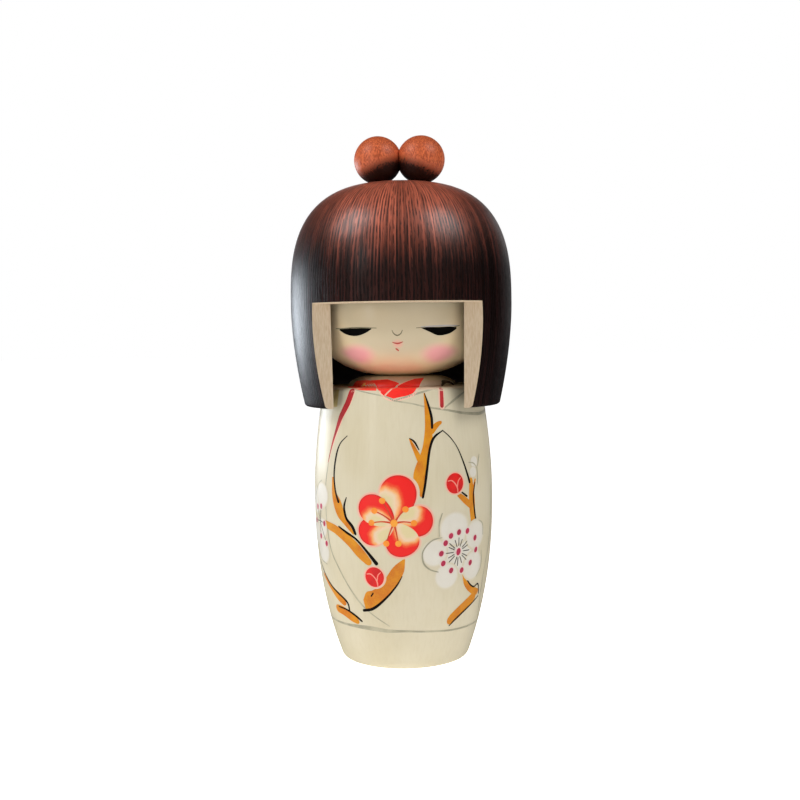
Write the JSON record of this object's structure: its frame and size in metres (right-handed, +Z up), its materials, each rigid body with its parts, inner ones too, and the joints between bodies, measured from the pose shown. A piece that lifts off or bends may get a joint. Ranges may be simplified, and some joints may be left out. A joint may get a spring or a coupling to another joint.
{
  "type": "turned wooden doll",
  "caption": "Free-standing turned wooden doll: barrel body, round head in a bobbed hair cap with a face window, ball hair buns on top; the head turns on a neck dowel.",
  "frame": {"origin": "middle of the flat base, on the axis of the turned body", "axes": "+Z up the doll's axis, the face and the open side of the hair towards -Y, the doll's left towards +X"},
  "size_m": [0.0678, 0.0678, 0.1602],
  "materials": {
    "cream_lacquer": "pale wood under a clear cream lacquer, smooth and softly glossy",
    "face_lacquer": "cream lacquer with airbrushed warm shading under the chin and pink cheeks",
    "hair_stain": "ring-porous wood brushed open along the grain, stained dark brown, satin lacquer",
    "bun_stain": "reddish brown stained wood, satin lacquer",
    "dowel_wood": "bare dowel wood",
    "hand_paint": "thin hand-painted blossoms, branches, collar and face features under the lacquer"
  },
  "bodies": {
    "torso": {"body": "cream_lacquer"},
    "head": {"head": "face_lacquer", "hair_cap": "hair_stain", "bun_left": "bun_stain", "bun_right": "bun_stain", "neck_dowel": "dowel_wood", "crown_dowel": "dowel_wood", "bun_dowel_left": "dowel_wood", "bun_dowel_right": "dowel_wood"}
  },
  "joints": [
    {"name": "head_turn", "type": "hinge", "parent": "torso", "child": "head", "pos_m": [0, 0, 0.087], "axis": [0, 0, 1], "continuous": true}
  ]
}
